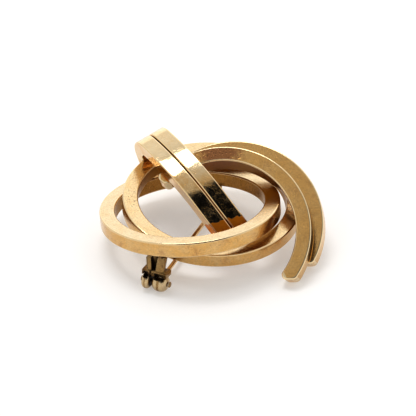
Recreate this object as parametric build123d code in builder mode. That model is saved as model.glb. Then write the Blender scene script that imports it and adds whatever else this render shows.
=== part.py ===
from build123d import *
import math
import os

os.makedirs("parts", exist_ok=True)

# A knot brooch that lies on its back findings, in millimetres.
# The origin is on the floor under the middle of the brooch, +Z up, +Y away from its front.

# Square bar of the rings and hooks
bar_width = 3.1
bar_depth = 3.1
edge_round = 0.3
end_round = 1.1
solder_gap = 0.12

# Two oval rings that cross, each leaning the other way about the line through their centres
ring_upper_length = 36.4
ring_upper_breadth = 34.5
ring_upper_turn = -4.6
ring_lower_length = 36.3
ring_lower_breadth = 35.0
ring_lower_turn = 11.0
ring_shift = 5.35
ring_drop = 0.3
ring_gap = 0.25
upper_lean_share = 0.57
knot_heading = 30.0
knot_x = -2.25
knot_y = 0.57
knot_height = 8.85

# Two equal hooks, one under the other and fanned out about their back ends, placed from the knot's centre
hook_length = 35.2
hook_breadth = 37.6
hook_lean = 32.5
hook_lean_heading = -110.3
hook_turn = 28.0
hook_x = 4.2
hook_y = -6.7
hook_front_angle = -69.3
hook_back_angle = 110.0
hook_fan_turn = 11.5
hook_fan_centre_angle = 115.0
outer_front_angle = -74.1
outer_back_angle = 100.0
foot_stock_angle = 12.0
foot_heading = -92.0
foot_drop_angle = 42.0

# Strap of two bars that bends down behind the rings and runs down through them to the front
strap_width = 3.25
strap_thickness = 3.1
strap_split = 0.2
strap_heading = -57.6
strap_tilt = 13.9
strap_x = -12.1
strap_y = 9.4
strap_crown_radius = 43.9
strap_crown_turn = 25.7
strap_bend_radius = 4.6
strap_bend_turn = 100.0

# Pin findings
pivot_x = -8.2
pivot_y = -18.2
prong_lean = 8.0
barrel_radius = 1.8
barrel_width = 3.25
barrel_offset = 0.33
barrel_round_share = 0.42
cheek_width = 1.55
prong_spacing = 0.4
block_height = 2.7
block_depth = 2.4
barrel_window = 1.9
cheek_window = 1.0
window_height = 1.4
window_level = 1.7
window_depth = 1.2
barrel_neck = 1.5
cheek_neck = 1.0
neck_shift = 0.5
neck_gap = 0.78
neck_spread = 0.5
neck_depth = 1.5
web_thickness = 0.4
rivet_radius = 0.4
rivet_fit = 0.02
side_gap = 0.12
hinge_clearance = 0.05
eye_radius = 1.0
eye_width = 1.0
stem_radius = 0.45
stem_point = 5.0
stem_tip_run = 1.0
stem_heading = 67.3
stem_fall_angle = 1.5
catch_run = 2.0
catch_wall = 0.5
catch_clearance = 0.12


def heading_vector(heading, rise=0.0):
    """Unit vector at a compass heading, counted from +X towards +Y, and a rise above the floor."""
    level = math.cos(math.radians(rise))
    across = level * math.cos(math.radians(heading))
    away = level * math.sin(math.radians(heading))
    return Vector(across, away, math.sin(math.radians(rise)))


def leaning_plane(centre, lean, towards, turn):
    """Plane whose upright is leaned towards a heading, with its x axis turned in the plane from +X."""
    upright = heading_vector(towards, 90 - lean)
    flat_x = Vector(1, 0, 0) - upright * upright.X
    return Plane(centre, x_dir=flat_x.normalized().rotate(Axis((0, 0, 0), upright), turn), z_dir=upright)


def meeting_offset(outer_radius, inner_radius, shift):
    """How far from the line of centres the outer wall of one ring meets the inner wall of the other."""
    along = (shift ** 2 + outer_radius ** 2 - inner_radius ** 2) / (2 * shift)
    return math.sqrt(outer_radius ** 2 - along ** 2)


# The rings lean just enough to pass over one another where they cross
knot_floor = Vector(knot_x, knot_y, 0)
knot_centre = knot_floor + Vector(0, 0, knot_height)
line_of_centres = heading_vector(knot_heading)
upper_centre = knot_centre - line_of_centres * ring_shift / 2
lower_centre = knot_centre + line_of_centres * ring_shift / 2 - Vector(0, 0, ring_drop)
upper_mean = (ring_upper_length + ring_upper_breadth) / 4
lower_mean = (ring_lower_length + ring_lower_breadth) / 4
near_meeting = meeting_offset(upper_mean, lower_mean - bar_width, ring_shift)
far_meeting = meeting_offset(lower_mean, upper_mean - bar_width, ring_shift)
lean_rise = (bar_depth + ring_gap + ring_drop) / min(near_meeting, far_meeting)
lean_total = math.degrees(2 * math.atan(lean_rise / 2))
upper_lean = lean_total * upper_lean_share
lower_lean = lean_total - upper_lean
upper_plane = leaning_plane(upper_centre, upper_lean, knot_heading + 90, ring_upper_turn)
lower_plane = leaning_plane(lower_centre, lower_lean, knot_heading - 90, ring_lower_turn)
rings = {
    "ring_upper": (upper_plane, ring_upper_length / 2, ring_upper_breadth / 2),
    "ring_lower": (lower_plane, ring_lower_length / 2, ring_lower_breadth / 2),
}

for name, (plane, half_length, half_breadth) in rings.items():
    with BuildPart() as ring:
        with BuildSketch(plane):
            Ellipse(half_length, half_breadth)
            Ellipse(half_length - bar_width, half_breadth - bar_width, mode=Mode.SUBTRACT)
        extrude(amount=-bar_depth)
        fillet(ring.edges().filter_by(GeomType.ELLIPSE), edge_round)
    ring.part.label = name
    export_step(ring.part, f"parts/{name}.step")

# The outer hook is the inner one lowered and turned, and both stand on the floor on slanted feet
hook_half_length = hook_length / 2
hook_half_breadth = hook_breadth / 2
hook_axis = Axis((0, 0, 0), heading_vector(hook_lean_heading, 90 - hook_lean))
foot_direction = heading_vector(foot_heading, -foot_drop_angle)


def hook_point(plane, angle, inset=0.0):
    """Point on a hook's top at an angle round its oval and in from its outer wall."""
    across = (hook_half_length - inset) * math.cos(math.radians(angle))
    along = (hook_half_breadth - inset) * math.sin(math.radians(angle))
    return plane.from_local_coords(Vector(across, along, 0))


level_centre = knot_floor + Vector(hook_x, hook_y, 0)
level_inner = leaning_plane(level_centre, hook_lean, hook_lean_heading, hook_turn)
fan_pivot = level_inner.to_local_coords(hook_point(level_inner, hook_fan_centre_angle, bar_width / 2))
fanned = fan_pivot - fan_pivot.rotate(Axis.Z, hook_fan_turn) - Vector(0, 0, bar_depth + solder_gap)
level_outer = Plane(
    level_inner.from_local_coords(fanned),
    x_dir=level_inner.x_dir.rotate(hook_axis, hook_fan_turn), z_dir=level_inner.z_dir,
)
level_hooks = {
    "arc_inner": (level_inner, hook_front_angle, hook_back_angle),
    "arc_outer": (level_outer, outer_front_angle, outer_back_angle),
}
hooks = {}

for name, (plane, front_angle, back_angle) in level_hooks.items():
    with BuildPart() as hook:
        with BuildSketch(plane):
            with BuildLine():
                stock_angle = front_angle - foot_stock_angle
                sweep_angle = back_angle - stock_angle
                outside = EllipticalCenterArc(
                    (0, 0), hook_half_length, hook_half_breadth, stock_angle, arc_size=sweep_angle
                )
                inside = EllipticalCenterArc(
                    (0, 0), hook_half_length - bar_width, hook_half_breadth - bar_width,
                    stock_angle, arc_size=sweep_angle,
                )
                Line(outside @ 0, inside @ 0)
                Line(outside @ 1, inside @ 1)
            make_face()
        extrude(amount=-bar_depth)
        foot_plane = Plane(hook_point(plane, front_angle, bar_width / 2), z_dir=foot_direction)
        split(bisect_by=foot_plane, keep=Keep.BOTTOM)
        foot = hook.faces().filter_by(Axis((0, 0, 0), foot_direction))[0]
        foot_sides = foot.edges().filter_by(GeomType.LINE, reverse=True)
        back_sides = hook.edges().filter_by(Axis((0, 0, 0), plane.z_dir))
        fillet(foot_sides + back_sides, end_round)
        fillet(hook.faces().sort_by(hook_axis)[-1].edges(), edge_round)
        fillet(hook.faces().sort_by(hook_axis)[0].edges(), edge_round)
    hooks[name] = hook.part

hook_lift = Vector(0, 0, -min(hook.bounding_box().min.Z for hook in hooks.values()))
inner_plane = Plane(level_inner.origin + hook_lift, x_dir=level_inner.x_dir, z_dir=level_inner.z_dir)
for name, hook in hooks.items():
    standing = hook.moved(Location(hook_lift))
    standing.label = name
    export_step(standing, f"parts/{name}.step")

# The strap's underside lies on the back half of the inner hook
strap_side = heading_vector(strap_heading + 90, strap_tilt)
strap_forward = heading_vector(strap_heading)
strap_up = strap_forward.cross(strap_side)
strap_span = 2 * strap_width + strap_split


def strap_drop(run, inset=0.0):
    """How far a face of the strap has bent down after a forward run from the crown."""
    radius = strap_crown_radius - inset
    straight_from = radius * math.sin(math.radians(strap_crown_turn))
    bent_run = min(abs(run), straight_from)
    bent = strap_crown_radius - math.sqrt(radius ** 2 - bent_run ** 2)
    return bent + max(run - straight_from, 0) * math.tan(math.radians(strap_crown_turn))


strap_floor = knot_floor + Vector(strap_x, strap_y, 0)
crown_levels = []
for angle in range(round(hook_back_angle)):
    for inset in (0, bar_width):
        touch = hook_point(inner_plane, angle, inset) - strap_floor
        under = strap_drop(touch.dot(strap_forward), strap_thickness)
        level = (touch.dot(strap_up) + under) / strap_up.Z
        if -solder_gap < touch.dot(strap_side) - level * strap_side.Z < strap_span + solder_gap:
            crown_levels.append(level)
crown_height = max(crown_levels) + solder_gap
strap_crown = strap_floor + Vector(0, 0, crown_height)


def wall_reach(plane, half_length, half_breadth, start, heading):
    """Distance from a point inside an oval wall to that wall along a heading."""
    place = plane.to_local_coords(start)
    step = plane.to_local_coords(start + heading) - place
    square = (step.X / half_length) ** 2 + (step.Y / half_breadth) ** 2
    mixed = place.X * step.X / half_length ** 2 + place.Y * step.Y / half_breadth ** 2
    rest = (place.X / half_length) ** 2 + (place.Y / half_breadth) ** 2 - 1
    return (math.sqrt(mixed ** 2 - square * rest) - mixed) / square


def slope_reach(plane, start, heading):
    """Distance from a point to a sloping plane along a heading."""
    return (plane.origin - start).dot(plane.z_dir) / heading.dot(plane.z_dir)


# Each strap bar ends above the upper ring behind and inside the lower ring in front
ring_inside = bar_width + 2 * solder_gap
upper_top = upper_plane.offset(solder_gap)
for name, place in {"band_left": 0, "band_right": strap_width + strap_split}.items():
    with BuildPart() as band:
        plane = Plane(strap_crown + strap_side * place, x_dir=strap_forward, z_dir=-strap_side)
        bend_centre = (0, -strap_bend_radius)
        crown_centre = (0, -strap_crown_radius)
        with BuildSketch(plane):
            with BuildLine() as outline:
                bends = []
                crowns = []
                for inset in (0, strap_thickness):
                    bend_radius = strap_bend_radius - inset
                    crown_radius = strap_crown_radius - inset
                    bends.append(CenterArc(bend_centre, bend_radius, 90, strap_bend_turn))
                    crowns.append(CenterArc(crown_centre, crown_radius, 90, -strap_crown_turn))
                leg_heading = bends[0] % 1
                run_heading = crowns[0] % 1
                leg_reaches = []
                run_reaches = []
                for side in (Vector(0, 0, 0), strap_side * strap_width):
                    down = plane.from_local_coords(leg_heading) - plane.origin
                    onward = plane.from_local_coords(run_heading) - plane.origin
                    for bend in bends:
                        start = plane.from_local_coords(bend @ 1) + side
                        leg_reaches.append(slope_reach(upper_top, start, down))
                    for crown in crowns:
                        start = plane.from_local_coords(crown @ 1) + side
                        run_reaches.append(wall_reach(
                            lower_plane, ring_lower_length / 2 - ring_inside,
                            ring_lower_breadth / 2 - ring_inside, start, onward,
                        ))
                leg_ends = []
                for bend in bends:
                    leg = Line(bend @ 1, bend @ 1 + leg_heading * min(leg_reaches))
                    leg_ends.append(leg @ 1)
                run_ends = []
                for crown in crowns:
                    run = Line(crown @ 1, crown @ 1 + run_heading * min(run_reaches))
                    run_ends.append(run @ 1)
                Line(*leg_ends)
                Line(*run_ends)
            make_face()
        extrude(amount=-strap_width)
        fillet(band.edges(), edge_round)
        # The bar is coped where it passes the walls of the rings
        for ring_plane, half_length, half_breadth in rings.values():
            with BuildSketch(ring_plane.offset(solder_gap)):
                Ellipse(half_length + solder_gap, half_breadth + solder_gap)
                Ellipse(
                    half_length - bar_width - solder_gap, half_breadth - bar_width - solder_gap,
                    mode=Mode.SUBTRACT,
                )
            extrude(amount=-bar_depth - 2 * solder_gap, mode=Mode.SUBTRACT)
    band.part.label = name
    export_step(band.part, f"parts/{name}.step")

# Hinge frame: x away from the front along the stem, y up the prongs, z along the rivet
up = Vector(0, 0, 1)
pivot = knot_floor + Vector(pivot_x, pivot_y, barrel_radius)
hinge_axis = heading_vector(stem_heading - 90)
prong_up = heading_vector(stem_heading, 90 - prong_lean)
front_plane = Plane(pivot, x_dir=hinge_axis, z_dir=hinge_axis.cross(prong_up))
hinge_plane = Plane(pivot, x_dir=-front_plane.z_dir, z_dir=hinge_axis)
ring_underside = upper_plane.offset(-bar_depth - solder_gap)
barrel_start = barrel_offset - barrel_width / 2
barrel_end = barrel_start + barrel_width
cheek_end = barrel_start - prong_spacing - cheek_width
slot_middle = barrel_start - prong_spacing / 2
prong_middle = front_plane.from_local_coords(Vector(slot_middle, 0, 0))
prong_height = slope_reach(ring_underside, prong_middle, prong_up)
neck_height = prong_height + neck_depth - block_height
slot_width = eye_width + 2 * side_gap
slot_radius = eye_radius + side_gap
prongs = ((barrel_start, barrel_width, barrel_window), (cheek_end, cheek_width, cheek_window))
neck_middle = slot_middle + neck_shift

with BuildPart() as pin_bracket:
    for start, width, window in prongs:
        with BuildPart(mode=Mode.PRIVATE) as barrel:
            with BuildSketch(hinge_plane.offset(start)):
                Circle(barrel_radius)
            extrude(amount=width)
            fillet(barrel.edges().filter_by(GeomType.CIRCLE), barrel_round_share * width)
        add(barrel.part)
        with BuildSketch(front_plane):
            with Locations((start + width / 2, (block_height + window_level) / 2)):
                Rectangle(width, block_height - window_level)
        extrude(amount=block_depth / 2, both=True)
    for side, neck in ((-1, cheek_neck), (1, barrel_neck)):
        waist_inside = neck_middle + side * neck_gap / 2
        top_inside = waist_inside + side * neck_spread
        with BuildSketch(front_plane):
            Polygon(
                (waist_inside, window_level), (waist_inside + side * neck, window_level),
                (waist_inside + side * neck, block_height),
                (top_inside + side * neck, block_height + neck_height),
                (top_inside, block_height + neck_height), (waist_inside, block_height), align=None,
            )
        extrude(amount=neck_depth / 2, both=True)
    with BuildSketch(front_plane.offset(-neck_depth / 2)):
        with Locations((neck_middle, (window_level + block_height + neck_height) / 2)):
            Rectangle(neck_gap + barrel_neck, block_height + neck_height - window_level)
    extrude(amount=web_thickness)
    for start, width, window in prongs:
        with BuildSketch(front_plane.offset(block_depth / 2 - window_depth)):
            with Locations((start + width / 2, window_level)):
                Rectangle(window, window_height)
        extrude(amount=window_depth + barrel_radius, mode=Mode.SUBTRACT)
    split(bisect_by=ring_underside, keep=Keep.BOTTOM)
    with BuildSketch(hinge_plane):
        Circle(slot_radius)
        with Locations(((barrel_radius - stem_radius) / 2, -barrel_radius / 2)):
            Rectangle(barrel_radius + stem_radius, barrel_radius + 2 * slot_radius)
    extrude(amount=slot_width / 2, both=True, mode=Mode.SUBTRACT)
    with BuildSketch(hinge_plane):
        Circle(rivet_radius + rivet_fit)
    extrude(amount=barrel_end - cheek_end, both=True, mode=Mode.SUBTRACT)
pin_bracket.part.label = "pin_bracket"
export_step(pin_bracket.part, "parts/pin_bracket.step")

# The rivet ends flush with the outer faces of both prongs
with BuildPart() as hinge_rivet:
    with BuildSketch(hinge_plane.offset(cheek_end)):
        Circle(rivet_radius)
    extrude(amount=barrel_end - cheek_end)
hinge_rivet.part.label = "hinge_rivet"
export_step(hinge_rivet.part, "parts/hinge_rivet.step")

# The stem's eye turns in the barrel's slot, and the stem falls a little towards the catch
stem_direction = heading_vector(stem_heading, -stem_fall_angle)
catch_start = wall_reach(
    upper_plane, ring_upper_length / 2 - bar_width, ring_upper_breadth / 2 - bar_width,
    pivot, stem_direction,
)
stem_length = catch_start + catch_run / 2 + stem_tip_run
stem_plane = Plane(pivot, x_dir=stem_direction, z_dir=hinge_axis)
with BuildPart() as pin_stem:
    with BuildSketch(stem_plane) as half_stem:
        Polygon(
            (0, 0), (stem_length, 0), (stem_length - stem_point, stem_radius), (0, stem_radius),
            align=None,
        )
    revolve(axis=Axis(pivot, stem_direction))
    with BuildSketch(stem_plane.offset(-eye_width / 2)):
        Circle(eye_radius)
    extrude(amount=eye_width)
    with BuildSketch(stem_plane):
        Circle(rivet_radius + hinge_clearance)
    extrude(amount=eye_width, both=True, mode=Mode.SUBTRACT)
pin_stem.part.label = "pin_stem"
export_step(pin_stem.part, "parts/pin_stem.step")

# The catch hangs from the upper ring on one side of the stem and straddles it down to the floor
slot_half = stem_radius + catch_clearance
catch_half = slot_half + catch_wall
catch_point = pivot + stem_direction * catch_start
catch_top = catch_point.Z + slot_half + catch_wall
catch_place = Plane((catch_point.X, catch_point.Y, 0), x_dir=hinge_plane.x_dir, z_dir=up)
with BuildPart() as catch:
    with BuildSketch(catch_place):
        Rectangle(catch_run, 2 * catch_half)
    extrude(amount=catch_top)
    with BuildSketch(catch_place):
        with Locations((0, catch_half / 2)):
            Rectangle(catch_run, catch_half)
    extrude(amount=knot_height)
    split(bisect_by=ring_underside, keep=Keep.BOTTOM)
    with BuildSketch(catch_place):
        Rectangle(catch_run, 2 * slot_half)
    extrude(amount=catch_point.Z + slot_half, mode=Mode.SUBTRACT)
catch.part.label = "catch"
export_step(catch.part, "parts/catch.step")
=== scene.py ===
import math

import bpy
from bpy.props import FloatProperty, FloatVectorProperty, PointerProperty
from mathutils import Matrix, Vector
from mathutils.bvhtree import BVHTree


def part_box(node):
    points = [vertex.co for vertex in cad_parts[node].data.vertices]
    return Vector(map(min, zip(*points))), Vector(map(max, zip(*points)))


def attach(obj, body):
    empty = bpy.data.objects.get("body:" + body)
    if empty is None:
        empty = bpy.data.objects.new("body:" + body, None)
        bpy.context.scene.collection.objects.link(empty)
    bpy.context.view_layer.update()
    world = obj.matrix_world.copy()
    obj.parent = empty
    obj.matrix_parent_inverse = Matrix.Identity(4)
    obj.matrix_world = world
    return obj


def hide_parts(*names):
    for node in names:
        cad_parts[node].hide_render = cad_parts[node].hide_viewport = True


bl_info = {
    "name": "Knot brooch",
    "version": (1, 0, 0),
    "blender": (4, 5, 0),
    "location": "View3D > Sidebar > Brooch",
    "description": "Finishes a gilt knot brooch and sets a plain studio round it",
    "category": "Object",
}

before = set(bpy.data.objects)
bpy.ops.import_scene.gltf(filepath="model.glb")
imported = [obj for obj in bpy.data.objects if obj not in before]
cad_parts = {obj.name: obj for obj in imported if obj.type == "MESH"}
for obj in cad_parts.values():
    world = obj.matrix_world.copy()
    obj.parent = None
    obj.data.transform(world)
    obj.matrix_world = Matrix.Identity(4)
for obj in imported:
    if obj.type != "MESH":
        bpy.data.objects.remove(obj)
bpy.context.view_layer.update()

MM = 0.001
BODY = "brooch"
PIN = "pin"

# The rings' and the inner hook's middles, and the hook's directions and half sizes
UPPER_RING_MIDDLE = (-4.6 * MM, -0.8 * MM, 8.8 * MM)
LOWER_RING_MIDDLE = (0.1 * MM, 1.9 * MM, 8.5 * MM)
HOOK_MIDDLE = (1.95 * MM, -6.13 * MM, 6.1 * MM)
HOOK_ALONG = (0.8675, 0.3186, 0.3821)
HOOK_UPRIGHT = (-0.1864, -0.5039, 0.8434)
HOOK_HALF_LENGTH = 17.6 * MM
HOOK_HALF_BREADTH = 18.8 * MM

# How far in the hook's inner wall lies, how low its lower edge is, and between which degrees
# round the hook's oval that edge starts to go further down and is back again
HOOK_INNER_WALL = 2.7 * MM
HOOK_LOWER_EDGE = -1.5 * MM
HOOK_START = (6, 22)
HOOK_STOP = (74, 98)

# The strap runs forward and down, and its ends start at a plane; there an orange reflection is
# painted on and the normal leans forward
STRAP_FORWARD = (0.536, -0.844, 0.0)
STRAP_END = (0.273, -0.574, -0.819)
STRAP_END_START = -2.25 * MM
STRAP_END_BLUR = 0.25 * MM
STRAP_JAG = 1.6 * MM
STRAP_JAG_SIZE = 1.1 * MM
# The strap's crown, between these two heights, gets the painted highlight
STRAP_CROWN = (13.8 * MM, 15.4 * MM)

# Pitted places on the lower ring and on the inner hook
RING_PITS = (-15.8 * MM, -0.1 * MM, 8.5 * MM)
HOOK_PITS = (1.8 * MM, 9.7 * MM, 14.8 * MM)

HINGE_AXIS = (0.9225, -0.3859, 0.0)
HEAD_SUNK = 0.04 * MM
RECESS_RAYS = 16
RECESS_SPREADS = (55, 25)
RECESS_LIFT = 0.01 * MM
RECESS_RAMP = (0.25, 0.75)
WELD = 0.002 * MM
SHARP_ANGLE = math.radians(40)
SCRATCH_WIDTH = 0.09 * MM

# How far each effect darkens the colour, roughens the surface or turns its normal
PIT_SHADE = 0.8
SCRATCH_SHADE = 0.35
DARK_TARNISH = 0.35
# Painted shade: how dark the recesses get, as a share of the tarnish colour
RECESS_SHADE_LEVEL = 0.12
EDGE_POLISH = 0.5
BROWN_ROUGHNESS = 0.2
PIT_ROUGHNESS = 0.3
INSIDE_ROUGHNESS = 0.12
RECESS_ROUGHNESS = 0.5
END_ROUGHNESS = 0.25
END_LEAN = 0.55

# The tent fades between two heights. Its bright panels, dark opening and front card start with
# their azimuth and elevation. A panel goes on with its radius and its extra brightness, the others
# with the radius where they start and the radius where they are full. All angles are in degrees.
TENT_FADE = (48, 74)
TENT_DARKER = 0.33
PANELS = ((-10, 14, 34, 0.35), (18, 42, 26, 0.35))
PANEL_CORE = 0.6
OPENING = (117, 82, 10.5, 9.0)
FRONT_CARD = (168, 56, 34, 24)
FRONT_CARD_SHADE = 0.85
OPENING_SHADE = 0.99

# In metres; a light is its azimuth and elevation in degrees, and its width and height
FLOOR_SIZE = 3.0
LIGHT_REACH = 0.8
LAMP = (-22, 66.5, 0.36, 0.15)
FILL = (-25, 72, 0.4, 0.4)


class MetalSettings(bpy.types.PropertyGroup):
    """Colours and sizes of the gilt finishes."""

    gilt: FloatVectorProperty(
        name="Gilt", description="Colour of the clean gilding",
        subtype="COLOR", size=3, min=0, max=1, default=(0.74, 0.46, 0.17),
    )
    pale: FloatVectorProperty(
        name="Pale gilt", description="Colour where handling has rubbed the gilding pale",
        subtype="COLOR", size=3, min=0, max=1, default=(0.74, 0.53, 0.27),
    )
    tarnish: FloatVectorProperty(
        name="Tarnish", description="Colour where the gilding has gone brown",
        subtype="COLOR", size=3, min=0, max=1, default=(0.36, 0.16, 0.07),
    )
    # Pale colour painted on the tops and rounded edges as a highlight
    painted_highlight: FloatVectorProperty(
        name="Painted highlight", description="Colour of the tops and edges that hands have rubbed most",
        subtype="COLOR", size=3, min=0, max=1, default=(0.84, 0.69, 0.45),
    )
    # Deep orange painted on the inner walls as their shade
    inside: FloatVectorProperty(
        name="Inside", description="Deeper colour of the inner walls that hands don't reach",
        subtype="COLOR", size=3, min=0, max=1, default=(0.34, 0.145, 0.008),
    )
    satin_roughness: FloatProperty(
        name="Satin roughness", description="How softly the rings and hooks reflect",
        subtype="FACTOR", min=0, max=1, default=0.17,
    )
    polished_roughness: FloatProperty(
        name="Polished roughness", description="How softly the strap reflects",
        subtype="FACTOR", min=0, max=1, default=0.06,
    )
    grain_size: FloatProperty(
        name="Grain", description="Size of the satin finish's grain",
        unit="LENGTH", default=0.22 * MM,
    )
    patch_size: FloatProperty(
        name="Patches", description="Size of the rubbed and tarnished patches",
        unit="LENGTH", default=3.2 * MM,
    )


class DetailSettings(bpy.types.PropertyGroup):
    """Sizes of the details that are shaped here."""

    hook_deeper: FloatProperty(
        name="Deeper hook", description="How much deeper the inner hook's bar is on its inner side",
        unit="LENGTH", min=0, default=1.5 * MM,
    )
    head_radius: FloatProperty(
        name="Rivet head", description="Radius of the rivet's domed heads",
        unit="LENGTH", min=0, default=0.62 * MM,
    )
    head_flatness: FloatProperty(
        name="Head flatness", description="Height of a rivet head as a share of its radius",
        subtype="FACTOR", min=0.05, max=1, default=0.5,
    )
    edge_width: FloatProperty(
        name="Bright edge", description="Widest face that counts as a rounded edge",
        unit="LENGTH", min=0, default=0.16 * MM,
    )
    recess_reach: FloatProperty(
        name="Recess", description="How near a wall has to be to keep a place dark",
        unit="LENGTH", min=0, default=2.2 * MM,
    )


class StudioSettings(bpy.types.PropertyGroup):
    """Camera, floor and lights."""

    aim: FloatVectorProperty(
        name="Aim", description="Point that the camera looks at",
        subtype="TRANSLATION", unit="LENGTH", size=3, default=(-0.86 * MM, -2.01 * MM, 8.6 * MM),
    )
    distance: FloatProperty(
        name="Distance", description="From the camera to the point it looks at",
        unit="LENGTH", default=450 * MM,
    )
    elevation: FloatProperty(
        name="Elevation", description="Height of the camera above the horizon",
        subtype="ANGLE", default=math.radians(35),
    )
    view_angle: FloatProperty(
        name="View angle", description="Angle that the picture is wide",
        subtype="ANGLE", default=math.radians(10.563),
    )
    floor_colour: FloatVectorProperty(
        name="Floor", description="Colour of the floor",
        subtype="COLOR", size=3, min=0, max=1, default=(0.62, 0.62, 0.62),
    )
    glow_colour: FloatVectorProperty(
        name="Glow", description="Colour of the light that comes up through the floor paper",
        subtype="COLOR", size=3, min=0, max=1, default=(1.0, 0.97, 0.94),
    )
    floor_glow: FloatProperty(
        name="Floor glow", description="Light that comes up through the floor paper",
        min=0, default=0.38,
    )
    tent: FloatProperty(
        name="Tent", description="Brightness of the white tent round the brooch",
        min=0, default=1.0,
    )
    lamp: FloatProperty(
        name="Lamp", description="Brightness of the lamp that shows through the tent at the back",
        min=0, default=6.0,
    )
    contrast: FloatProperty(
        name="Contrast", description="Gamma of the picture: lower is deeper in the shadows",
        min=0.5, max=1.5, default=0.80,
    )
    fill: FloatProperty(
        name="Fill", description="Power of the soft light that lifts the floor",
        unit="POWER", min=0, default=1.5,
    )


def new_group(name, inputs, outputs):
    """A node group with its ends in place."""
    tree = bpy.data.node_groups.new(name, "ShaderNodeTree")
    ends = tree.interface
    for label, kind, value in inputs:
        made = ends.new_socket(name=label, in_out="INPUT", socket_type=f"NodeSocket{kind}")
        if value is not None:
            made.default_value = value
    for label, kind in outputs:
        ends.new_socket(name=label, in_out="OUTPUT", socket_type=f"NodeSocket{kind}")
    return tree, tree.nodes.new("NodeGroupInput").outputs, tree.nodes.new("NodeGroupOutput").inputs


def add(tree, kind, settings=None, **links):
    """Adds a node whose inputs, by name or as _number, get a value or another node's output."""
    node = tree.nodes.new(kind)
    for key, value in (settings or {}).items():
        setattr(node, key, value)
    for key, value in links.items():
        target = node.inputs[int(key[1:])] if key[0] == "_" else node.inputs[key.replace("_", " ")]
        if isinstance(value, bpy.types.NodeSocket):
            tree.links.new(value, target)
        else:
            target.default_value = value
    return node


def maths(tree, operation, first, second, clamp=False):
    """A Math node's result."""
    settings = {"operation": operation, "use_clamp": clamp}
    return add(tree, "ShaderNodeMath", settings, _0=first, _1=second).outputs[0]


def times(tree, first, *others):
    """The product of some values."""
    for other in others:
        first = maths(tree, "MULTIPLY", first, other)
    return first


def plus(tree, first, *others):
    """The sum of some values."""
    for other in others:
        first = maths(tree, "ADD", first, other)
    return first


def rest_of(tree, value):
    """What a share leaves of 1."""
    return maths(tree, "SUBTRACT", 1.0, value)


def vectors(tree, operation, first, second):
    """A Vector Math node."""
    return add(tree, "ShaderNodeVectorMath", {"operation": operation}, _0=first, _1=second)


def scaled(tree, vector, scale):
    """A vector or a colour times a value."""
    settings = {"operation": "SCALE"}
    return add(tree, "ShaderNodeVectorMath", settings, _0=vector, Scale=scale).outputs[0]


def ramp(tree, value, low, high):
    """How far a value has gone from low to high, from 0 to 1."""
    settings = {"interpolation_type": "SMOOTHSTEP"}
    return add(tree, "ShaderNodeMapRange", settings, _0=value, _1=low, _2=high).outputs[0]


def noise(tree, place, size, detail=2.0, roughness=0.5):
    """Noise whose lumps are about as large as size."""
    scale = maths(tree, "DIVIDE", 1.0, size)
    settings = {"Vector": place, "Scale": scale, "Detail": detail, "Roughness": roughness}
    return add(tree, "ShaderNodeTexNoise", None, **settings).outputs[0]


def mix_colour(tree, factor, first, second):
    """One colour laid over another."""
    settings = {"data_type": "RGBA"}
    return add(tree, "ShaderNodeMix", settings, _0=factor, _6=first, _7=second).outputs[2]


def make_wear_group():
    """Gilding rubbed pale in some places and gone brown in others."""
    tree, given, out = new_group(
        "gilding wear",
        (
            ("Vector", "Vector", None), ("Gilt", "Color", None), ("Pale", "Color", None),
            ("Tarnish", "Color", None), ("Patch Size", "Float", 3 * MM), ("Rubbed", "Float", 0.5),
            ("Tarnished", "Float", 0.3),
        ),
        (("Colour", "Color"), ("Brown", "Float"), ("Rub", "Float")),
    )
    place, size = given["Vector"], given["Patch Size"]
    broad = noise(tree, place, size, 4.0, 0.6)
    fine = noise(tree, place, times(tree, size, 0.12), 3.0, 0.65)
    patches = plus(tree, times(tree, broad, 0.7), times(tree, fine, 0.3))
    rub = times(tree, ramp(tree, patches, 0.42, 0.62), given["Rubbed"])
    apart = vectors(tree, "ADD", place, (0.031, 0.017, 0.023)).outputs[0]
    other = noise(tree, apart, times(tree, size, 0.8), 5.0, 0.7)
    speckle = noise(tree, place, times(tree, size, 0.05), 2.0)
    stain = plus(tree, times(tree, other, 0.75), times(tree, speckle, 0.25))
    brown = times(tree, ramp(tree, stain, 0.50, 0.66), given["Tarnished"])
    colour = mix_colour(tree, rub, given["Gilt"], given["Pale"])
    colour = mix_colour(tree, brown, colour, given["Tarnish"])
    tree.links.new(colour, out["Colour"])
    tree.links.new(brown, out["Brown"])
    tree.links.new(rub, out["Rub"])


def make_grain_group():
    """The fine grain of a satin finish, with a slower unevenness under it."""
    tree, given, out = new_group(
        "satin grain",
        (
            ("Vector", "Vector", None), ("Grain Size", "Float", 0.2 * MM), ("Grain", "Float", 1.0),
            ("Waves", "Float", 1.0), ("Wave Size", "Float", 2.5 * MM),
        ),
        (("Height", "Float"), ("Mask", "Float")),
    )
    place, size = given["Vector"], given["Grain Size"]
    grain = noise(tree, place, size, 2.0, 0.6)
    waves = noise(tree, place, given["Wave Size"], 1.0, 0.4)
    fine = times(tree, grain, size, given["Grain"])
    slow = times(tree, waves, 0.1 * MM, given["Waves"])
    tree.links.new(plus(tree, fine, slow), out["Height"])
    tree.links.new(ramp(tree, grain, 0.3, 0.7), out["Mask"])


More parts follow.
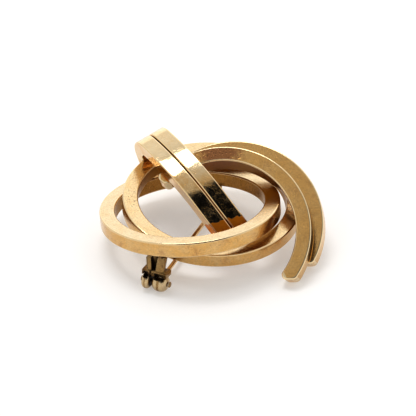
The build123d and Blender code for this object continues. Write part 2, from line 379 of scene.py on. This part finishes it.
def make_scratches_group():
    """Fine scratches that run two ways."""
    tree, given, out = new_group(
        "scratches",
        (("Vector", "Vector", None), ("Width", "Float", 0.1 * MM), ("Amount", "Float", 1.0)),
        (("Mask", "Float"), ("Height", "Float")),
    )
    masks = []
    for turn, shift in ((0.5, 0.0), (1.9, 0.013)):
        turned = add(
            tree, "ShaderNodeMapping", None, Vector=given["Vector"], Location=(shift, shift, 0.0),
            Rotation=(0.4, turn * 0.5, turn), Scale=(1.0, 0.05, 1.0),
        )
        streaks = noise(tree, turned.outputs[0], given["Width"], 1.0, 0.5)
        masks.append(ramp(tree, streaks, 0.66, 0.74))
    both = maths(tree, "MAXIMUM", *masks)
    kept = ramp(tree, noise(tree, given["Vector"], 2.5 * MM, 2.0), 0.42, 0.6)
    mask = times(tree, both, kept, given["Amount"])
    tree.links.new(mask, out["Mask"])
    tree.links.new(times(tree, mask, -0.01 * MM), out["Height"])


def make_pits_group():
    """Small pits within a ragged distance of one place."""
    tree, given, out = new_group(
        "pits",
        (
            ("Vector", "Vector", None), ("Spacing", "Float", 0.4 * MM), ("Centre", "Vector", None),
            ("Reach", "Float", 1.0), ("Amount", "Float", 1.0),
        ),
        (("Mask", "Float"), ("Height", "Float"), ("Near", "Float")),
    )
    place, spacing = given["Vector"], given["Spacing"]
    apart = vectors(tree, "DISTANCE", place, given["Centre"]).outputs["Value"]
    share = maths(tree, "DIVIDE", apart, given["Reach"])
    ragged = times(tree, noise(tree, place, 0.9 * MM, 3.0, 0.7), 0.9)
    near = rest_of(tree, ramp(tree, plus(tree, share, ragged), 0.9, 1.45))
    density = maths(tree, "DIVIDE", 1.0, spacing)
    cells = add(tree, "ShaderNodeTexVoronoi", None, Vector=place, Scale=density)
    hole = rest_of(tree, ramp(tree, cells.outputs["Distance"], 0.15, 0.42))
    chance = add(tree, "ShaderNodeSeparateColor", None, Color=cells.outputs["Color"]).outputs[0]
    mask = times(tree, hole, ramp(tree, chance, 0.45, 0.6), times(tree, near, given["Amount"]))
    tree.links.new(mask, out["Mask"])
    tree.links.new(times(tree, mask, times(tree, spacing, -0.12)), out["Height"])
    tree.links.new(near, out["Near"])


def make_top_highlight_group():
    """Painted highlight on the tops, patchily, between two levels."""
    tree, given, out = new_group(
        "handled tops",
        (
            ("Vector", "Vector", None), ("Facing", "Vector", None), ("Low Level", "Float", 0.0),
            ("High Level", "Float", 1 * MM), ("Patch Size", "Float", 3 * MM),
            ("Amount", "Float", 0.0),
        ),
        (("Mask", "Float"),),
    )
    upward = add(tree, "ShaderNodeSeparateXYZ", None, Vector=given["Facing"]).outputs["Z"]
    level = add(tree, "ShaderNodeSeparateXYZ", None, Vector=given["Vector"]).outputs["Z"]
    high = ramp(tree, level, given["Low Level"], given["High Level"])
    top = times(tree, ramp(tree, upward, 0.6, 0.9), high)
    patches = noise(tree, given["Vector"], times(tree, given["Patch Size"], 0.6), 4.0, 0.6)
    patchy = maths(tree, "ADD", 0.45, times(tree, patches, 0.9), clamp=True)
    tree.links.new(times(tree, top, patchy, given["Amount"]), out["Mask"])


def make_inner_group():
    """Walls that face a ring's or a hook's middle, the mask of the painted shade on them."""
    tree, given, out = new_group(
        "inner walls",
        (
            ("Vector", "Vector", None), ("Facing", "Vector", None), ("Middle", "Vector", None),
            ("Amount", "Float", 0.0),
        ),
        (("Mask", "Float"),),
    )
    outward = vectors(tree, "SUBTRACT", given["Vector"], given["Middle"]).outputs[0]
    turned = vectors(tree, "DOT_PRODUCT", outward, given["Facing"]).outputs["Value"]
    inside = rest_of(tree, ramp(tree, turned, -9 * MM, -3 * MM))
    tree.links.new(times(tree, inside, given["Amount"]), out["Mask"])


def place_group(tree, name, **values):
    """Places a node group in a material with its own values."""
    return add(tree, "ShaderNodeGroup", {"node_tree": bpy.data.node_groups[name]}, **values).outputs


def place_effects(tree, metal, finish):
    """Every shared effect of a gilt finish, by its short name."""
    coordinates = add(tree, "ShaderNodeTexCoord").outputs
    place, facing = coordinates["Object"], coordinates["Normal"]
    low_level, high_level = finish["highlight_levels"]
    return {
        "wear": place_group(
            tree, "gilding wear", Vector=place, Gilt=(*metal.gilt, 1), Pale=(*metal.pale, 1),
            Tarnish=(*metal.tarnish, 1), Patch_Size=metal.patch_size,
            Rubbed=finish["rubbed"], Tarnished=finish["tarnished"],
        ),
        "grain": place_group(
            tree, "satin grain", Vector=place, Grain_Size=metal.grain_size,
            Grain=finish["grain"], Waves=finish["waves"], Wave_Size=finish["wave_size"],
        ),
        "marks": place_group(
            tree, "scratches", Vector=place, Width=SCRATCH_WIDTH, Amount=finish["scratched"],
        ),
        "pits": place_group(
            tree, "pits", Vector=place, Spacing=finish["pit_spacing"], Centre=finish["pit_centre"],
            Reach=finish["pit_reach"], Amount=finish["pitted"],
        ),
        "painted_highlight": place_group(
            tree, "handled tops", Vector=place, Facing=facing, Low_Level=low_level,
            High_Level=high_level, Patch_Size=metal.patch_size, Amount=finish["painted_highlight"],
        )["Mask"],
        "inside": place_group(
            tree, "inner walls", Vector=place, Facing=facing, Middle=finish["middle"],
            Amount=finish["inside"],
        )["Mask"],
        "edge": add(tree, "ShaderNodeAttribute", {"attribute_name": "edge"}).outputs["Fac"],
        "recess": add(tree, "ShaderNodeAttribute", {"attribute_name": "recess"}).outputs["Fac"],
        "end": strap_end(tree, place) if "end_reflection_tint" in finish else None,
    }


def strap_end(tree, place):
    """The jagged start of the strap's ends, where the orange reflection is painted, as a mask."""
    run = vectors(tree, "DOT_PRODUCT", place, STRAP_END).outputs["Value"]
    jag = times(tree, noise(tree, place, STRAP_JAG_SIZE, 2.0, 0.6), STRAP_JAG)
    return ramp(tree, plus(tree, run, jag), STRAP_END_START, STRAP_END_START + STRAP_END_BLUR)


def gilt_colour(tree, metal, finish, effects):
    """The gilding's colour, from the deepest layer to the painted shade in recesses on top."""
    pits, marks = effects["pits"], effects["marks"]
    dark = (*(part * DARK_TARNISH for part in metal.tarnish), 1)
    painted_recess_shade = (*(part * RECESS_SHADE_LEVEL for part in metal.tarnish), 1)
    painted_highlight = (*metal.painted_highlight, 1)
    stained = times(tree, pits["Near"], finish["pit_stain"])
    # Painted highlight: faces that point up and sit high on a piece get a pale colour
    colour = mix_colour(tree, effects["painted_highlight"], effects["wear"]["Colour"], painted_highlight)
    # Painted shade: the inner walls are darkened to a deep orange
    colour = mix_colour(tree, effects["inside"], colour, (*metal.inside, 1))
    colour = mix_colour(tree, stained, colour, (*metal.tarnish, 1))
    colour = mix_colour(tree, times(tree, pits["Mask"], PIT_SHADE), colour, dark)
    colour = mix_colour(tree, times(tree, marks["Mask"], SCRATCH_SHADE), colour, dark)
    swing = finish["speckle"] * finish["shade"]
    speckle = times(tree, effects["grain"]["Mask"], swing)
    colour = scaled(tree, colour, maths(tree, "SUBTRACT", finish["shade"] + swing / 2, speckle))
    # Painted reflection: the strap's ends get an orange colour
    if effects["end"]:
        colour = mix_colour(tree, effects["end"], colour, finish["end_reflection_tint"])
    # Painted highlight: the rounded edges get the same pale colour
    colour = mix_colour(tree, times(tree, effects["edge"], finish["painted_edge_highlight"]), colour, painted_highlight)
    # Painted shade: faces that the piece closes in are darkened nearly to black
    return mix_colour(tree, ramp(tree, effects["recess"], *RECESS_RAMP), colour, painted_recess_shade)


def gilt_roughness(tree, finish, effects, flat):
    """Rougher where the gilding is brown, rubbed or pitted, on the inner walls and in recesses."""
    wear = effects["wear"]
    rough = plus(
        tree, times(tree, flat, finish["roughness"]), times(tree, wear["Brown"], BROWN_ROUGHNESS),
        times(tree, wear["Rub"], finish["rub_roughness"]),
        times(tree, effects["pits"]["Mask"], PIT_ROUGHNESS),
        times(tree, effects["inside"], INSIDE_ROUGHNESS),
    )
    rough = maths(tree, "ADD", rough, times(tree, effects["recess"], RECESS_ROUGHNESS), clamp=True)
    if effects["end"]:
        rough = plus(tree, rough, times(tree, effects["end"], END_ROUGHNESS))
    return rough


def gilt_normal(tree, effects, flat):
    """The bump of the grain, scratches and pits, and the lean of the strap's ends."""
    cuts = plus(tree, effects["marks"]["Height"], effects["pits"]["Height"])
    height = times(tree, plus(tree, effects["grain"]["Height"], cuts), flat)
    bump = add(tree, "ShaderNodeBump", None, Strength=1.0, Distance=1.0, Height=height)
    normal = bump.outputs[0]
    if effects["end"]:
        lean = scaled(tree, STRAP_FORWARD, times(tree, effects["end"], END_LEAN))
        leaned = vectors(tree, "ADD", normal, lean).outputs[0]
        normal = add(tree, "ShaderNodeVectorMath", {"operation": "NORMALIZE"}, _0=leaned).outputs[0]
    return normal


def gilt_material(name, metal, finish):
    """Worn gilding on brass, with painted highlights, painted shade and a painted orange
    reflection; finish holds the numbers that differ from piece to piece.
    """
    material = bpy.data.materials.new(name)
    material.use_nodes = True
    tree = material.node_tree
    shader = tree.nodes["Principled BSDF"].inputs
    effects = place_effects(tree, metal, finish)
    flat = rest_of(tree, times(tree, effects["edge"], EDGE_POLISH))
    rubbed_coat = times(tree, effects["wear"]["Rub"], finish["coat"])
    coat = maths(tree, "ADD", finish["coat"], rubbed_coat, clamp=True)
    dull = maths(tree, "MAXIMUM", effects["inside"], effects["recess"])
    tree.links.new(gilt_colour(tree, metal, finish, effects), shader["Base Color"])
    tree.links.new(gilt_roughness(tree, finish, effects, flat), shader["Roughness"])
    tree.links.new(times(tree, coat, rest_of(tree, dull)), shader["Coat Weight"])
    tree.links.new(gilt_normal(tree, effects, flat), shader["Normal"])
    shader["Metallic"].default_value = 1
    shader["Coat Roughness"].default_value = finish["coat_roughness"]


PLAIN = {
    "shade": 1.0, "rubbed": 0.6, "tarnished": 0.3, "speckle": 0.24, "rub_roughness": 0.0,
    "grain": 0.07, "waves": 0.25, "wave_size": 2.5 * MM, "scratched": 0.6,
    "pit_spacing": 0.5 * MM, "pit_centre": (0.0, 0.0, 0.0), "pit_reach": 1.0, "pitted": 0.0,
    "pit_stain": 0.0, "coat": 0.3, "coat_roughness": 0.2, "painted_highlight": 0.0,
    "highlight_levels": (0.0, 1 * MM), "middle": (0.0, 0.0, 0.0), "inside": 0.0, "painted_edge_highlight": 0.5,
}


def finishes(metal):
    """The numbers of each node's finish."""
    satin = {**PLAIN, "roughness": metal.satin_roughness}
    hook = {**satin, "rubbed": 0.25, "tarnished": 0.25, "coat": 0.15, "painted_edge_highlight": 0.9}
    # inside sets how much painted shade the inner walls get
    return {
        "ring_upper": {
            **satin, "shade": 0.9, "rubbed": 0.5, "tarnished": 0.4, "painted_highlight": 0.9, "inside": 0.7,
            "middle": UPPER_RING_MIDDLE,
        },
        "ring_lower": {
            **satin, "shade": 0.9, "painted_highlight": 0.7, "inside": 1.0, "middle": LOWER_RING_MIDDLE,
            "pit_spacing": 0.55 * MM, "pit_centre": RING_PITS, "pit_reach": 3.2 * MM,
            "pitted": 0.45,
        },
        "arc_inner": {
            **hook, "inside": 1.0, "middle": HOOK_MIDDLE, "pit_spacing": 0.42 * MM,
            "pit_centre": HOOK_PITS, "pit_reach": 6.0 * MM, "pitted": 1.0, "pit_stain": 0.9,
        },
        "arc_outer": hook,
        "band_left": {
            **PLAIN, "roughness": metal.polished_roughness, "rubbed": 0.9, "tarnished": 0.1,
            "speckle": 0.08, "rub_roughness": 0.05, "grain": 0.004, "waves": 0.2,
            "wave_size": 1.3 * MM, "coat": 0.5, "painted_highlight": 0.85, "highlight_levels": STRAP_CROWN,
            "end_reflection_tint": (0.62, 0.20, 0.008, 1),
        },
        "pin_bracket": {
            **PLAIN, "roughness": 0.26, "shade": 0.46, "rubbed": 0.3, "tarnished": 0.9,
            "waves": 0.3, "wave_size": 0.8 * MM,
        },
        "pin_stem": {**PLAIN, "roughness": 0.18, "rubbed": 0.2, "tarnished": 0.35},
    }


SHARED = {"band_right": "band_left", "hinge_rivet": "pin_bracket", "catch": "pin_bracket"}


class BROOCH_OT_metal(bpy.types.Operator):
    """Makes the shared effects and the finish of each kind of piece"""

    bl_idname = "brooch.metal"
    bl_label = "Mix the gilt finishes"

    def execute(self, context):
        make_wear_group()
        make_grain_group()
        make_scratches_group()
        make_pits_group()
        make_top_highlight_group()
        make_inner_group()
        metal = context.scene.brooch_metal
        for name, finish in finishes(metal).items():
            gilt_material(f"gilt {name}", metal, finish)
        return {"FINISHED"}


def mark_edges(mesh, edge_width):
    """Stores 1 for each narrow face, which lies on a rounded edge."""
    narrow = mesh.attributes.new("edge", "FLOAT", "FACE")
    for face in mesh.polygons:
        corners = [mesh.vertices[index].co for index in face.vertices]
        longest = max((a - b).length for a, b in zip(corners, corners[1:] + corners[:1]))
        narrow.data[face.index].value = 1.0 if 2 * face.area < longest * edge_width else 0.0


def mark_recesses(mesh, reach):
    """Stores for each face how much of the space in front of it the same piece closes off."""
    shape = BVHTree.FromPolygons([v.co for v in mesh.vertices], [f.vertices for f in mesh.polygons])
    closed = mesh.attributes.new("recess", "FLOAT", "FACE")
    for face in mesh.polygons:
        upright = face.normal.to_track_quat("Z", "Y")
        start = face.center + face.normal * RECESS_LIFT
        hits = 0
        for turn in range(RECESS_RAYS):
            spread = math.radians(RECESS_SPREADS[turn % 2])
            around = turn * math.tau / RECESS_RAYS
            level = math.sin(spread)
            ray = Vector((level * math.cos(around), level * math.sin(around), math.cos(spread)))
            hits += shape.ray_cast(start, upright @ ray, reach)[0] is not None
        closed.data[face.index].value = hits / RECESS_RAYS


def share_between(value, low, high):
    """How far a value has gone from low to high, kept from 0 to 1."""
    return min(max((value - low) / (high - low), 0), 1)


def deepen_hook(mesh, depth):
    """Lowers the lower edge of the inner hook's inner wall, where its bar is deeper."""
    along = Vector(HOOK_ALONG)
    upright = Vector(HOOK_UPRIGHT)
    across = upright.cross(along)
    for vertex in mesh.vertices:
        place = vertex.co - Vector(HOOK_MIDDLE)
        x, y = place.dot(along), place.dot(across)
        angle = math.atan2(y, x)
        outer_wall = 1 / math.hypot(
            math.cos(angle) / HOOK_HALF_LENGTH, math.sin(angle) / HOOK_HALF_BREADTH,
        )
        on_inner_wall = outer_wall - math.hypot(x, y) >= HOOK_INNER_WALL
        if on_inner_wall and place.dot(upright) <= HOOK_LOWER_EDGE:
            turn = math.degrees(angle)
            share = share_between(turn, *HOOK_START) * (1 - share_between(turn, *HOOK_STOP))
            vertex.co -= upright * depth * share ** 2 * (3 - 2 * share)


def select_only(piece):
    """Makes a piece the one that operators act on."""
    bpy.ops.object.select_all(action="DESELECT")
    piece.select_set(True)
    bpy.context.view_layer.objects.active = piece


def smooth_copy(node_name, body, slot):
    """A copy of a node, merged and smoothed, that stands for it."""
    detail = bpy.context.scene.brooch_detail
    piece = bpy.data.objects.new(f"{node_name}_finish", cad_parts[node_name].data.copy())
    bpy.context.scene.collection.objects.link(piece)
    select_only(piece)
    bpy.ops.object.mode_set(mode="EDIT")
    bpy.ops.mesh.select_all(action="SELECT")
    bpy.ops.mesh.remove_doubles(threshold=WELD)
    bpy.ops.mesh.normals_make_consistent(inside=False)
    bpy.ops.object.mode_set(mode="OBJECT")
    if node_name == "arc_inner":
        deepen_hook(piece.data, detail.hook_deeper)
    bpy.ops.object.shade_smooth_by_angle(angle=SHARP_ANGLE)
    weighted = piece.modifiers.new("weighted", "WEIGHTED_NORMAL")
    weighted.keep_sharp = True
    weighted.weight = 100
    bpy.ops.object.modifier_apply(modifier=weighted.name)
    mark_edges(piece.data, detail.edge_width)
    if slot == "finding_gilt":
        mark_recesses(piece.data, detail.recess_reach)
    piece.data.materials.clear()
    finish = SHARED.get(node_name, node_name)
    piece.data.materials.append(bpy.data.materials[f"gilt {finish}"])
    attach(piece, body)
    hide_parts(node_name)


class BROOCH_OT_bars(bpy.types.Operator):
    """Smooths the rings, the hooks and the strap and dresses them in gilt"""

    bl_idname = "brooch.bars"
    bl_label = "Dress the bars"

    def execute(self, context):
        for name in ("ring_upper", "ring_lower", "arc_inner", "arc_outer"):
            smooth_copy(name, BODY, "satin_gilt")
        for name in ("band_left", "band_right"):
            smooth_copy(name, BODY, "polished_gilt")
        return {"FINISHED"}


def rivet_head(name, side):
    """A domed head, hammered over one end of the hinge's rivet."""
    detail = bpy.context.scene.brooch_detail
    low, high = (Vector(corner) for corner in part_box("hinge_rivet"))
    half_length = (high.x - low.x) / 2 / HINGE_AXIS[0]
    axis = Vector(HINGE_AXIS) * side
    seat = (low + high) / 2 + axis * (half_length - HEAD_SUNK)
    bpy.ops.object.select_all(action="DESELECT")
    bpy.ops.mesh.primitive_uv_sphere_add(segments=32, ring_count=16, radius=detail.head_radius)
    head = bpy.context.object
    head.name = name
    bpy.ops.object.mode_set(mode="EDIT")
    bpy.ops.mesh.select_all(action="SELECT")
    bpy.ops.mesh.bisect(plane_co=(0, 0, 0), plane_no=(0, 0, 1), clear_inner=True, use_fill=True)
    bpy.ops.mesh.select_all(action="SELECT")
    bpy.ops.transform.resize(value=(1, 1, detail.head_flatness))
    bpy.ops.mesh.normals_make_consistent(inside=False)
    bpy.ops.object.mode_set(mode="OBJECT")
    turned = axis.to_track_quat("Z", "Y").to_matrix().to_4x4()
    head.data.transform(Matrix.Translation(seat) @ turned)
    bpy.ops.object.shade_smooth_by_angle(angle=SHARP_ANGLE)
    head.data.materials.append(bpy.data.materials["gilt pin_bracket"])
    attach(head, BODY)


class BROOCH_OT_findings(bpy.types.Operator):
    """Smooths the pin, its bracket and its catch, dresses them in gilt and heads the rivet"""

    bl_idname = "brooch.findings"
    bl_label = "Dress the findings"

    def execute(self, context):
        for name in ("pin_bracket", "hinge_rivet", "catch"):
            smooth_copy(name, BODY, "finding_gilt")
        smooth_copy("pin_stem", PIN, "finding_gilt")
        rivet_head("rivet_head_left", -1)
        rivet_head("rivet_head_right", 1)
        return {"FINISHED"}


def heading(azimuth, elevation):
    """Direction behind the brooch at azimuth 0, to its right at 90 degrees."""
    turn, rise = math.radians(azimuth), math.radians(elevation)
    level = math.cos(rise)
    return Vector((level * math.sin(turn), level * math.cos(turn), math.sin(rise)))


def tent_spot(tree, way, azimuth, elevation, outside, inside):
    """A round place on the tent, as a mask that starts outside and is full inside."""
    near = vectors(tree, "DOT_PRODUCT", way, heading(azimuth, elevation)).outputs["Value"]
    return ramp(tree, near, math.cos(math.radians(outside)), math.cos(math.radians(inside)))


class BROOCH_OT_stage(bpy.types.Operator):
    """Makes the pale floor, the tent, the lights and the camera"""

    bl_idname = "brooch.stage"
    bl_label = "Set the stage"

    def execute(self, context):
        studio = context.scene.brooch_studio
        self.make_floor(studio)
        self.make_tent(context, studio)
        self.make_lights(context, studio)
        self.make_camera(context, studio)
        context.scene.view_settings.view_transform = "Standard"
        context.scene.view_settings.gamma = studio.contrast
        return {"FINISHED"}

    def make_floor(self, studio):
        """Pale paper that light also comes up through."""
        bpy.ops.object.select_all(action="DESELECT")
        bpy.ops.mesh.primitive_plane_add(size=FLOOR_SIZE, location=(0, 0, 0))
        floor = bpy.context.object
        floor.name = "floor"
        paper = bpy.data.materials.new("floor paper")
        paper.use_nodes = True
        shader = paper.node_tree.nodes["Principled BSDF"].inputs
        shader["Base Color"].default_value = (*studio.floor_colour, 1)
        shader["Roughness"].default_value = 0.9
        shader["Specular IOR Level"].default_value = 0.1
        shader["Emission Color"].default_value = (*studio.glow_colour, 1)
        shader["Emission Strength"].default_value = studio.floor_glow
        floor.data.materials.append(paper)

    def make_tent(self, context, studio):
        """A white tent that darkens towards its top, with panels, an opening and a card."""
        world = bpy.data.worlds.new("tent")
        context.scene.world = world
        world.use_nodes = True
        tree = world.node_tree
        background = tree.nodes["Background"].inputs
        way = add(tree, "ShaderNodeTexCoord").outputs["Generated"]
        height = add(tree, "ShaderNodeSeparateXYZ", None, Vector=way).outputs["Z"]
        top = ramp(tree, height, *(math.sin(math.radians(edge)) for edge in TENT_FADE))
        white = rest_of(tree, times(tree, top, TENT_DARKER))
        for azimuth, elevation, reach, gain in PANELS:
            panel = tent_spot(tree, way, azimuth, elevation, reach, reach * PANEL_CORE)
            white = plus(tree, white, times(tree, panel, gain))
        card = times(tree, tent_spot(tree, way, *FRONT_CARD), FRONT_CARD_SHADE)
        hole = maths(tree, "MAXIMUM", tent_spot(tree, way, *OPENING), card)
        light = times(tree, white, rest_of(tree, times(tree, hole, OPENING_SHADE)))
        tree.links.new(times(tree, light, studio.tent), background["Strength"])
        background["Color"].default_value = (1, 1, 1, 1)

    def make_lights(self, context, studio):
        """A lamp that the metal shows, and a fill for the floor that it doesn't."""
        width, height = LAMP[2:]
        self.soft_light(context, studio, "lamp", LAMP, studio.lamp * math.pi * width * height)
        fill = self.soft_light(context, studio, "floor fill", FILL, studio.fill)
        fill.visible_glossy = False

    def soft_light(self, context, studio, name, placed, power):
        """A flat light that faces the brooch, placed as its constant says."""
        azimuth, elevation, width, height = placed
        aim = Vector(studio.aim)
        data = bpy.data.lights.new(name, "AREA")
        data.shape = "RECTANGLE"
        data.size = width
        data.size_y = height
        data.energy = power
        light = bpy.data.objects.new(name, data)
        light.location = aim + heading(azimuth, elevation) * LIGHT_REACH
        light.rotation_euler = (aim - light.location).to_track_quat("-Z", "Y").to_euler()
        context.scene.collection.objects.link(light)
        return light

    def make_camera(self, context, studio):
        """A level camera in front of the brooch, above the horizon."""
        data = bpy.data.cameras.new("camera")
        data.sensor_width = 36
        data.angle = studio.view_angle
        data.clip_start = 0.01
        camera = bpy.data.objects.new("camera", data)
        towards = heading(180, math.degrees(studio.elevation))
        camera.location = Vector(studio.aim) + towards * studio.distance
        camera.rotation_euler = (math.pi / 2 - studio.elevation, 0, 0)
        context.scene.collection.objects.link(camera)
        context.scene.camera = camera


class BROOCH_PT_panel(bpy.types.Panel):
    """Lists the settings and the steps"""

    bl_label = "Knot brooch"
    bl_idname = "BROOCH_PT_panel"
    bl_space_type = "VIEW_3D"
    bl_region_type = "UI"
    bl_category = "Brooch"

    def draw(self, context):
        scene = context.scene
        for group in (scene.brooch_metal, scene.brooch_detail, scene.brooch_studio):
            for name in group.bl_rna.properties.keys():
                if name not in ("rna_type", "name"):
                    self.layout.prop(group, name)
        for operator in STEPS:
            self.layout.operator(operator.bl_idname)


STEPS = (BROOCH_OT_metal, BROOCH_OT_bars, BROOCH_OT_findings, BROOCH_OT_stage)
CLASSES = (MetalSettings, DetailSettings, StudioSettings, *STEPS, BROOCH_PT_panel)


def register():
    for each in CLASSES:
        bpy.utils.register_class(each)
    bpy.types.Scene.brooch_metal = PointerProperty(type=MetalSettings)
    bpy.types.Scene.brooch_detail = PointerProperty(type=DetailSettings)
    bpy.types.Scene.brooch_studio = PointerProperty(type=StudioSettings)


def unregister():
    del bpy.types.Scene.brooch_studio
    del bpy.types.Scene.brooch_detail
    del bpy.types.Scene.brooch_metal
    for each in reversed(CLASSES):
        bpy.utils.unregister_class(each)


def main():
    register()
    bpy.ops.brooch.metal()
    bpy.ops.brooch.bars()
    bpy.ops.brooch.findings()
    bpy.ops.brooch.stage()


if __name__ == "__main__":
    main()
